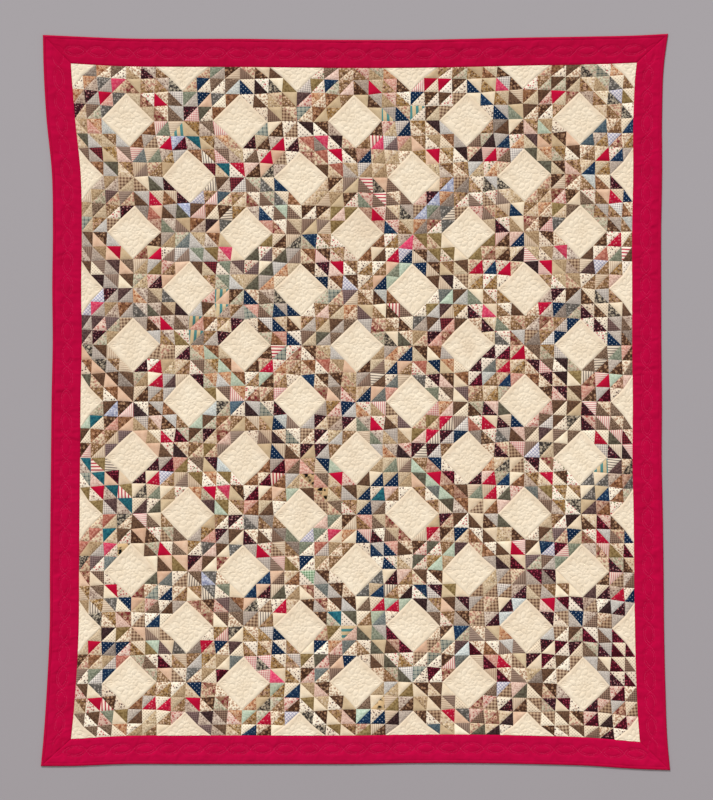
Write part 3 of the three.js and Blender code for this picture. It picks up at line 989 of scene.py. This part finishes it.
def make_border(side, material):
    """A border strip: its cable, and soft puffs to the seam and to the binding."""
    insets = np.linspace(BINDING - 1 * MM, BORDER, round((BORDER - BINDING) / BORDER_STEP) + 1)
    along, inset = strip_grid(side, insets, BORDER_STEP)
    u, v = strip_flat(side, along, inset)
    stray = waver(u, v, *BORDER_WAVER)
    stitched = cable_stitching(along + stray[0], inset + stray[1])
    from_mitre = (side.inner + BORDER - inset - np.abs(along)) / math.sqrt(2)
    from_seam = np.minimum(BORDER - inset, np.maximum(inset - BINDING, 0) + 1 * MM)
    from_seam = np.minimum(from_seam, from_mitre)
    lift = puff(np.minimum(stitched, from_seam), BORDER_PUFF)
    rough = crinkle(u, v) + border_pucker(along, inset)
    z = SEAM_Z + BORDER_RISE * lift + rough * held_down(from_seam, SEAM_CRINKLE)
    points = lie(u, v, z).reshape(-1, 3)
    return add_mesh(
        f"border_{side.name}_cloth",
        points,
        grid_faces(*along.shape),
        [material],
        print_uv=np.stack([u, v], axis=-1).reshape(-1, 2) / MM,
        # painted light and shade for this side of the quilt
        fade_and_shade=np.full(len(points), side.shade),
    )


# Quilting stitches: small raised threads in the stitched lines

STITCH_PITCH = 3.5 * MM
STITCH_LENGTH = 2.1 * MM
THREAD_HALF = 0.45 * MM
THREAD_RISE = 0.45 * MM
THREAD_DIP = 0.1 * MM
# How far threads lie above their cloth, and how far from the border seams they stop
THREAD_ABOVE = 0.15 * MM
CABLE_ABOVE = 0.5 * MM
SEAM_CLEAR = 2 * MM


def stitch_ends(line):
    """Both ends of each stitch along a line of points, each a flat place and a height."""
    length = np.concatenate([[0], np.cumsum(np.linalg.norm(np.diff(line[:, :2], axis=0), axis=1))])
    starts = np.arange(0, max(length[-1] - STITCH_LENGTH, 0), STITCH_PITCH)
    ends = []
    for at in (starts, starts + STITCH_LENGTH):
        ends.append(np.stack([np.interp(at, length, line[:, k]) for k in range(3)], axis=1))
    return ends


def add_stitches(name, lines, material):
    """Stitches along lines as one piece: small humps that dip into the cloth at their ends."""
    first, last = np.concatenate([stitch_ends(line) for line in lines], axis=1)
    along = (last - first)[:, :2]
    length = np.maximum(np.linalg.norm(along, axis=1, keepdims=True), 1e-6)
    across = np.zeros_like(first)
    across[:, :2] = np.stack([-along[:, 1], along[:, 0]], axis=1) / length * THREAD_HALF
    middle = (first + last) / 2
    sewn = np.stack([first, last, middle + across, middle - across, middle], axis=1)
    rise = np.array([-THREAD_DIP, -THREAD_DIP, 0, 0, THREAD_RISE])
    points = lie(sewn[..., 0], sewn[..., 1], sewn[..., 2] + rise)
    corners = np.array([(0, 3, 4), (0, 4, 2), (1, 4, 3), (1, 2, 4)])
    faces = corners + 5 * np.arange(len(sewn))[:, None, None]
    return add_mesh(name, points.reshape(-1, 3), faces.reshape(-1, 3), [material])


def sewn_places(centre_p, centre_q, drawn):
    """Where a cream square's drawn quilting is sewn: along its sides, and flat."""
    place = drawn
    for _ in range(3):
        a = (place[:, 1] + place[:, 0]) / (2 * CELL)
        b = (place[:, 1] - place[:, 0]) / (2 * CELL)
        u, v = square_flat(centre_p, centre_q, a, b)
        place = drawn - np.stack(waver(u, v, *SQUARE_WAVER), axis=1)
    return a, b, u, v


def read_grid(values, a, b):
    """A value at places along a square's sides, between the nearest points of its grid."""
    x = (a + 1) / 2 * SQUARE_STEPS
    y = (b + 1) / 2 * SQUARE_STEPS
    i = np.clip(x.astype(int), 0, SQUARE_STEPS - 1)
    j = np.clip(y.astype(int), 0, SQUARE_STEPS - 1)
    return blend(lambda i, j: values[i, j], i, j, x - i, y - j)


def square_stitches(material):
    """The quilting thread of every cream square inside the border."""
    lines = []
    a, b = square_grid()
    for q, across in square_rows():
        for p in across:
            turn = wreath_turn(p, q)
            relief = square_height(*square_flat(p, q, a, b), a - b, a + b, turn)
            relief = relief.reshape(SQUARE_STEPS + 1, SQUARE_STEPS + 1)
            strokes = square_lines(turn)
            stroke_a, stroke_b, u, v = sewn_places(p, q, np.concatenate(strokes))
            height = read_grid(relief, stroke_a, stroke_b) + THREAD_ABOVE
            further = np.stack([u + SEAM_CLEAR * np.sign(u), v + SEAM_CLEAR * np.sign(v)])
            inside = np.all(np.stack(inside_seams(*further)) == further, axis=0)
            ends = np.cumsum([len(stroke) for stroke in strokes])[:-1]
            breaks = np.union1d(ends, np.flatnonzero(np.diff(inside.astype(int))) + 1)
            for run in np.split(np.arange(len(u)), breaks):
                if inside[run[0]] and len(run) > 2:
                    lines.append(np.stack([u, v, height], axis=1)[run])
    return add_stitches("stitches_squares", lines, material)


def cable_lines(side):
    """The cable's lines on a border strip, as places along it and in from the edge."""
    reach = side.inner + BORDER - CABLE_INSET - STRAND_HALF_WIDTH
    along = np.arange(-reach, reach, 2 * MM)
    hand = np.sign(np.cos(math.pi * along / LINK_PITCH))
    wave = hand * strand_height(from_link(along) / (LINK_PITCH / 2))
    lines = [(along, CABLE_INSET + wave), (along, CABLE_INSET - wave)]
    links = math.floor((reach - LINK_LENGTH / 2) / LINK_PITCH)
    share = np.sin(np.linspace(-math.pi / 2, math.pi / 2, 25))
    for k in range(-links, links + 1):
        place = k * LINK_PITCH + share * LINK_LENGTH / 2
        for side_of_link in (1, -1):
            lines.append((place, CABLE_INSET + side_of_link * link_height(share)))
    return lines


def border_stitches(material):
    """The quilting thread of the four border strips."""
    lines = []
    for side in SIDES:
        for along, inset in cable_lines(side):
            u, v = strip_flat(side, along, inset)
            stray = waver(u, v, *BORDER_WAVER)
            u, v = strip_flat(side, along - stray[0], inset - stray[1])
            lines.append(np.stack([u, v, SEAM_Z + CABLE_ABOVE + crinkle(u, v)], axis=1))
    return add_stitches("stitches_border", lines, material)


# The binding's section from its inner edge over the fold, in shares of its width and height
BINDING_PUCKER = 0.25 * MM
BINDING_SECTION = [
    (1.0, 0.66), (0.97, 0.86), (0.85, 0.97), (0.6, 1.0), (0.32, 0.97), (0.12, 0.84), (0.02, 0.6),
    (0.0, 0.4), (0.04, 0.2), (0.14, 0.06), (0.3, 0.01), (1.0, 0.01),
]


def make_binding(side, material):
    """A binding strip folded over the edge, slightly drawn in by its stitches."""
    section = np.array(BINDING_SECTION)
    along, inset = strip_grid(side, section[:, 0] * BINDING, BINDING_STEP)
    u, v = strip_flat(side, along, inset)
    pucker = ripple(along, inset * 0, 9 * MM, 31) * BINDING_PUCKER
    z = np.maximum(section[:, 1] * BINDING_Z + pucker * section[:, 1], 0)
    return add_mesh(
        f"binding_{side.name}_cloth",
        lie(u, v, z).reshape(-1, 3),
        grid_faces(*along.shape),
        [material],
        print_uv=np.stack([along, inset + z], axis=-1).reshape(-1, 2) / MM,
    )


def make_backing(material):
    """The plain back, flat on the floor, with faint dimples under the seams."""
    across = np.linspace(-1, 1, 2 * HALF_ACROSS * BACK_STEPS + 1) * (OUTER_X - BINDING / 2)
    along = np.linspace(-1, 1, 2 * HALF_ALONG * BACK_STEPS + 1) * (OUTER_Y - BINDING / 2)
    u, v = np.meshgrid(across, along, indexing="ij")
    z = BACK_DIMPLE * (1 + ripple(u, v, CELL, 41)) + BACK_LIFT
    return add_mesh("backing", lie(u, v, z).reshape(-1, 3), grid_faces(*u.shape), [material])


# Floor, light and camera

# The size of one pixel on the quilt, the picture's height, and how far its middle lies from the quilt's
PIXEL = 2.7155 * MM
PHOTO_HEIGHT = 800
OFF_RIGHT = 1
OFF_UP = 2
LENS = 100
SENSOR = 36
FLOOR_HALF = 12.0
WORLD_LIGHT = 0.53


def make_floor():
    n = Nodes("floor_paper")
    place = n.print_place()
    cloud = n.noise(place, 400, 2)[0]
    # The floor is painted lighter towards the back: painted light on plain paper
    along = n.add("SeparateXYZ", {0: place}).outputs[1]
    back = n.scaled(cloud, 0.2, n.above(along, 0.0, 1100.0))
    n.surface(n.mix(back, (157, 151, 154), (164, 159, 162)), n.scaled(cloud, 0.1, 0.85), 0.1)
    points = FLOOR_HALF * np.array([(-1, -1, 0), (1, -1, 0), (1, 1, 0), (-1, 1, 0)])
    floor = add_mesh("floor", points, np.array([[0, 1, 2, 3]]), [n.material])


def add_sun(name, azimuth, elevation, spread, strength):
    """A soft, even light from far away; azimuth is where it comes from, in degrees."""
    light = bpy.data.lights.new(name, "SUN")
    light.angle = math.radians(spread)
    light.energy = strength
    lamp = bpy.data.objects.new(name, light)
    lamp.rotation_euler = (math.radians(90 - elevation), 0, math.radians(azimuth + 90))
    lamp.location = (0, 0, 3)
    bpy.context.scene.collection.objects.link(lamp)


def make_camera():
    camera = bpy.data.cameras.new("camera")
    camera.lens = LENS
    camera.sensor_width = SENSOR
    camera.clip_end = 50
    holder = bpy.data.objects.new("camera", camera)
    height = PHOTO_HEIGHT * PIXEL * LENS / SENSOR
    holder.location = (OFF_RIGHT * PIXEL, OFF_UP * PIXEL, height + SEAM_Z)
    bpy.context.scene.collection.objects.link(holder)
    bpy.context.scene.camera = holder


def make_world():
    world = bpy.data.worlds.new("studio")
    world.use_nodes = True
    background = world.node_tree.nodes["Background"]
    background.inputs["Color"].default_value = (1, 1, 1, 1)
    background.inputs["Strength"].default_value = WORLD_LIGHT
    bpy.context.scene.world = world
    bpy.context.scene.view_settings.view_transform = "Standard"


make_camera()
make_world()
make_floor()
add_sun("key", azimuth=110, elevation=34, spread=14, strength=2.9)

crimson = solid_material("crimson_cotton", (187, 3, 61), (178, 2, 56))
binding_crimson = solid_material("crimson_binding", (181, 5, 58), (172, 4, 53))
muslin = solid_material("backing_muslin", (228, 216, 194), (222, 208, 186))

blocks = make_blocks()
squares = make_squares()
borders = [make_border(side, crimson) for side in SIDES]
bindings = [make_binding(side, binding_crimson) for side in SIDES]
backing = make_backing(muslin)
stitching = [
    square_stitches(solid_material("cream_thread", (244, 230, 206), (238, 222, 198))),
    # The border thread is painted lighter than the crimson: partly its own pinker thread, partly painted
    # sheen on the stitched lines
    border_stitches(solid_material("crimson_thread", (230, 74, 124), (222, 66, 114))),
]

for piece in [*blocks, *squares]:
    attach(piece, "root")
    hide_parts("patchwork_center")
for side, piece in zip(SIDES, borders):
    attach(piece, "root")
    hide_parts("border_" + side.name)
for side, piece in zip(SIDES, bindings):
    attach(piece, "root")
    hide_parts("binding_" + side.name)
for piece, slot in zip(stitching, ("patchwork_cotton", "border_cotton")):
    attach(piece, "root")
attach(backing, "root")
